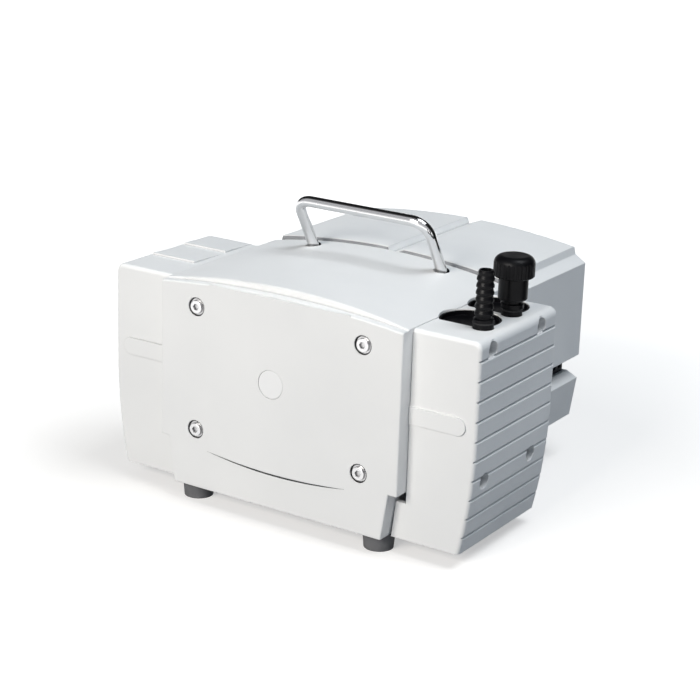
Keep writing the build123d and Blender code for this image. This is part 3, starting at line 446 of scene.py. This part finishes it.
def inlet_blades():
    """Nickel blades over the three pins of the mains inlet, chamfered at the tip."""
    low, high = box_mm("mains_inlet")
    middle_x, _, middle_z = middle(low, high)
    mouth = high[1] - 2.0
    root, shoulder, tip, chamfer = mouth - 14.8, mouth - 5.6, mouth - 4.4, 0.55
    half_width, half_height = 1.15, 2.15
    pins = ((-7, -1.5), (7, -1.5), (0, 2.5))
    nickel = finishes["screw_steel"]
    for number, (right, up) in enumerate(pins, start=1):
        x, z = middle_x + right, middle_z + up
        sections = []
        for y, shrink in ((root, 0.0), (shoulder, 0.0), (tip, chamfer)):
            w, h = half_width - shrink, half_height - shrink
            sections.append([(x - w, y, z - h), (x + w, y, z - h),
                             (x + w, y, z + h), (x - w, y, z + h)])
        lofted("inlet_blade_%d" % number, "housing", nickel, sections)


def rocker_marks():
    """Raised I and O on the two halves of the switch rocker."""
    x = middle(*box_mm("switch_rocker"))[0]
    frame_low, frame_high = box_mm("switch_frame")
    pivot_y = frame_high[1] - 5.0
    pivot_z = middle(frame_low, frame_high)[2]
    tilt = math.radians(9.0)
    rise_of_face = 1.5 / 8.2
    face_at_pivot, mark_at = 3.1, 4.4
    film = (-0.05, 0.1)
    paint = painted("mark_white", (0.75, 0.75, 0.74), (0.6, 0.6, 0.6), 0.5)

    def on_face(side, right, up, proud):
        """Point on one half of the rocker, turned with it."""
        along = mark_at + up
        out = face_at_pivot + along * rise_of_face + proud
        rise = side * along
        return (x + right, pivot_y + out * math.cos(tilt) - rise * math.sin(tilt),
                pivot_z + out * math.sin(tilt) + rise * math.cos(tilt))

    w, h = 0.35, 1.6
    corners = ((-w, -h), (w, -h), (w, h), (-w, h))
    bar = [[on_face(1, right, up, proud) for right, up in corners] for proud in film]
    lofted("rocker_mark_on", "rocker", paint, bar)
    inner, outer = 1.2, 1.7
    wall = ((inner, film[0]), (inner, film[1]), (outer, film[1]), (outer, film[0]))
    loop = [[on_face(-1, reach * math.cos(turn), reach * math.sin(turn), proud)
             for reach, proud in wall] for turn in around(40)]
    lofted("rocker_mark_off", "rocker", paint, loop, closed=True)


# ---------------------------------------------------------------- studio
def placed(name, data):
    """Object for a lamp or a camera, in the scene."""
    made = bpy.data.objects.new(name, data)
    bpy.context.scene.collection.objects.link(made)
    return made


def camera():
    """Camera at the photograph's viewing angle."""
    data = bpy.data.cameras.new("camera")
    data.lens = 99.03
    data.sensor_width = 36.0
    made = placed("camera", data)
    azimuth, down, roll = (math.radians(angle) for angle in (32.62, 18.0, 1.96))
    made.matrix_world = (
        Matrix.Translation((0.7364, -1.1879, 0.5535))
        @ Matrix.Rotation(azimuth, 4, "Z")
        @ Matrix.Rotation(math.pi / 2 - down, 4, "X")
        @ Matrix.Rotation(roll, 4, "Z")
    )
    bpy.context.scene.camera = made


def softbox(name, place, size, watts, colour):
    """Large rectangular lamp aimed at the middle of the object."""
    aim = Vector((0, 0, 0.1))
    data = bpy.data.lights.new(name, "AREA")
    data.shape = "RECTANGLE"
    data.size, data.size_y = size
    data.energy = watts
    data.color = colour
    made = placed(name, data)
    made.location = place
    made.rotation_euler = (Vector(place) - aim).to_track_quat("Z", "Y").to_euler()


def seen_directly(tree):
    """1 where the camera, gloss or glass looks at a surface, 0 where light bounces off it."""
    path = add_node(tree, "ShaderNodeLightPath")
    seen = path.outputs["Is Camera Ray"]
    for other in ("Is Glossy Ray", "Is Transmission Ray"):
        either = add_node(tree, "ShaderNodeMath", operation="MAXIMUM")
        tree.links.new(seen, either.inputs[0])
        tree.links.new(path.outputs[other], either.inputs[1])
        seen = either.outputs["Value"]
    return seen


def room_in_gloss(tree):
    """What gloss sees over the horizon: the white sweep, a softbox, and an unlit ceiling."""
    place = add_node(tree, "ShaderNodeTexCoord")
    axes = add_node(tree, "ShaderNodeSeparateXYZ")
    tree.links.new(place.outputs["Generated"], axes.inputs["Vector"])
    forward = add_node(tree, "ShaderNodeMath", {1: -1.0}, operation="MULTIPLY")
    tree.links.new(axes.outputs["Y"], forward.inputs[0])
    height = add_node(tree, "ShaderNodeMath", operation="ARCTAN2")
    tree.links.new(axes.outputs["Z"], height.inputs[0])
    tree.links.new(forward.outputs["Value"], height.inputs[1])
    turn = add_node(tree, "ShaderNodeMapRange", {"From Max": math.pi})
    tree.links.new(height.outputs["Value"], turn.inputs["Value"])
    ramp = add_node(tree, "ShaderNodeValToRGB")
    stops = ramp.color_ramp.elements
    stops[0].position, stops[0].color = 0.0, (0.82, 0.82, 0.84, 1)
    stops[1].position, stops[1].color = 1.0, (0.85, 0.85, 0.86, 1)
    # share of the half turn from the front horizon over the top to the back one, and brightness
    for share, level in ((0.15, 0.62), (0.19, 0.25), (0.24, 0.62), (0.29, 0.72), (0.40, 0.10),
                         (0.46, 0.015), (0.87, 0.015), (0.94, 0.45)):
        stops.new(share).color = (level, level, 1.03 * level, 1)
    tree.links.new(turn.outputs["Result"], ramp.inputs["Fac"])
    return ramp.outputs["Color"]


def white_world():
    """Cool, weak light from all round; white to the camera, and the studio room to gloss."""
    world = bpy.data.worlds.new("studio")
    bpy.context.scene.world = world
    world.use_nodes = True
    tree = world.node_tree
    room = add_node(tree, "ShaderNodeMix", {MIX_A: WHITE}, data_type="RGBA")
    path = add_node(tree, "ShaderNodeLightPath")
    tree.links.new(path.outputs["Is Glossy Ray"], room.inputs["Factor"])
    tree.links.new(room_in_gloss(tree), room.inputs[MIX_B])
    plain = tree.nodes["Background"]
    plain.inputs["Strength"].default_value = 1.0
    tree.links.new(room.outputs[MIX_RESULT], plain.inputs["Color"])
    dim = add_node(tree, "ShaderNodeBackground", {"Color": (0.66, 0.84, 1.0, 1), "Strength": 0.168})
    mix = add_node(tree, "ShaderNodeMixShader")
    tree.links.new(seen_directly(tree), mix.inputs["Fac"])
    tree.links.new(dim.outputs["Background"], mix.inputs[1])
    tree.links.new(plain.outputs["Background"], mix.inputs[2])
    tree.links.new(mix.outputs["Shader"], tree.nodes["World Output"].inputs["Surface"])


def white_floor():
    """Pale floor that keeps the object's shadow and runs out into white."""
    bpy.ops.mesh.primitive_plane_add(size=16, location=(0, 0, 0))
    floor = bpy.context.object
    floor.name = "floor"
    coat = Finish("floor_white", (0.12, 0.14, 0.17), 0.9, Specular_IOR_Level=0.1)
    clouds = coat.between(coat.noise(scale=3, detail=3), 0.4, 0.7, out_high=0.1)
    coat.tint(clouds, (0.112, 0.132, 0.16))
    seen = seen_directly(coat.tree)
    coat.tint(seen, (0.64, 0.62, 0.60))
    far = coat.node("ShaderNodeVectorMath", operation="LENGTH")
    coat.link(coat.place, far.inputs[0])
    glow = coat.between(far.outputs["Value"], 0.25, 1.0, out_low=0.46)
    coat.link(coat.times(seen, glow), coat.shader.inputs["Emission Strength"])
    coat.shader.inputs["Emission Color"].default_value = WHITE
    floor.data.materials.append(coat.material)


def dark_flag():
    """Black card beside the set that only gloss sees."""
    upright = (math.pi / 2, 0, math.pi / 2)
    bpy.ops.mesh.primitive_plane_add(size=1, location=(0.36, 0.45, 0.30), rotation=upright)
    card = bpy.context.object
    card.name = "flag"
    card.scale = (0.9, 0.6, 1)
    card.data.materials.append(Finish("flag_felt", (0.01, 0.01, 0.01), 1.0).material)
    card.visible_camera = False
    card.visible_diffuse = False
    card.visible_shadow = False


hood_joint_shade()
port_rings()
screw_shade_rings()
panel_edge_shadow()
inlet_blades()
rocker_marks()

camera()
white_world()
white_floor()
softbox("key", (-0.2, -2.3, 1.1), size=(1.3, 1.0), watts=55.5, colour=(1.0, 0.962, 0.91))
softbox("top", (0.9, 0.1, 2.1), size=(1.2, 1.2), watts=32, colour=(0.92, 0.96, 1.0))
dark_flag()
bpy.context.scene.view_settings.view_transform = "Standard"
